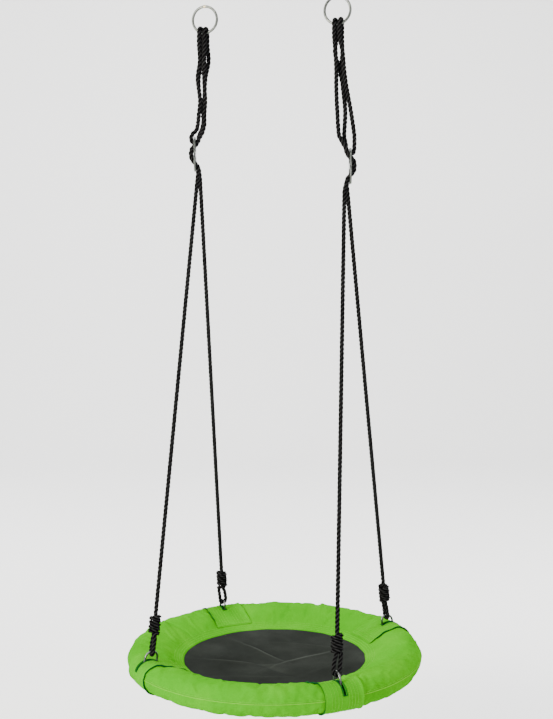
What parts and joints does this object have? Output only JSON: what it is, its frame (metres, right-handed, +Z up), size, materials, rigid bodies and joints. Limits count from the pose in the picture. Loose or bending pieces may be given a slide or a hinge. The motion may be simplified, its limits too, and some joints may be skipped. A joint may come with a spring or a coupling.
{
  "type": "saucer nest swing",
  "caption": "Round padded nest swing with a fabric mat, hung by twisted ropes, height adjuster plates and steel rings.",
  "frame": {"origin": "midway between the two points where hooks carry the top rings, at the top of the rings' holes", "axes": "+Z up, +X from the left ring to the right ring, -Y front"},
  "size_m": [0.6996, 0.6996, 1.5579],
  "materials": {
    "steel": "galvanised",
    "frame": "satin",
    "rope": "twisted",
    "cover": "woven",
    "foam": "foam",
    "mat": "woven"
  },
  "bodies": {
    "top_rings": {"top_ring_left": "steel", "top_ring_right": "steel"},
    "suspension": {"rope_loop_inner_left": "rope", "rope_loop_outer_left": "rope", "rope_loop_inner_right": "rope", "rope_loop_outer_right": "rope"},
    "left_adjuster": {"adjuster_plate_left": "steel", "rope_bight_left": "rope", "rope_weave_front_left": "rope", "rope_weave_back_left": "rope"},
    "right_adjuster": {"adjuster_plate_right": "steel", "rope_bight_right": "rope", "rope_weave_front_right": "rope", "rope_weave_back_right": "rope"},
    "seat": {"rope_lower_front_left": "rope", "rope_lower_back_left": "rope", "rope_lower_front_right": "rope", "rope_lower_back_right": "rope", "rope_knot_front_left": "rope", "rope_knot_back_left": "rope", "rope_knot_front_right": "rope", "rope_knot_back_right": "rope", "frame_link_front_left": "steel", "frame_link_back_left": "steel", "frame_link_front_right": "steel", "frame_link_back_right": "steel", "frame_tube_front_left": "frame", "frame_tube_back_left": "frame", "frame_tube_front_right": "frame", "frame_tube_back_right": "frame", "cover_band_front_left": "cover", "cover_band_back_left": "cover", "cover_band_front_right": "cover", "cover_band_back_right": "cover", "frame_spigot_right": "frame", "frame_spigot_back": "frame", "frame_spigot_left": "frame", "frame_spigot_front": "frame", "foam_sleeve_right": "foam", "foam_sleeve_back": "foam", "foam_sleeve_left": "foam", "foam_sleeve_front": "foam", "cover_top": "cover", "cover_bottom": "cover", "mat": "mat"}
  },
  "joints": [
    {"name": "swing", "type": "hinge", "parent": "top_rings", "child": "suspension", "pos_m": [0, 0, -0.057], "axis": [1, 0, 0], "range_deg": [-40, 40]},
    {"name": "seat_height", "type": "slide", "parent": "suspension", "child": "seat", "axis": [0, 0, 1], "range_m": [0, 0.2], "deforming": ["rope_lower_front_left", "rope_lower_back_left", "rope_lower_front_right", "rope_lower_back_right"]},
    {"name": "left_adjuster_slide", "type": "slide", "parent": "suspension", "child": "left_adjuster", "axis": [0, 0, 1], "range_m": [-0.2, 0], "deforming": ["rope_loop_inner_left", "rope_loop_outer_left"]},
    {"name": "right_adjuster_slide", "type": "slide", "parent": "suspension", "child": "right_adjuster", "axis": [0, 0, 1], "range_m": [-0.2, 0], "deforming": ["rope_loop_inner_right", "rope_loop_outer_right"]}
  ],
  "couplings": [
    {"joint": "left_adjuster_slide", "follows": "seat_height", "ratio": -1},
    {"joint": "right_adjuster_slide", "follows": "seat_height", "ratio": -1}
  ]
}
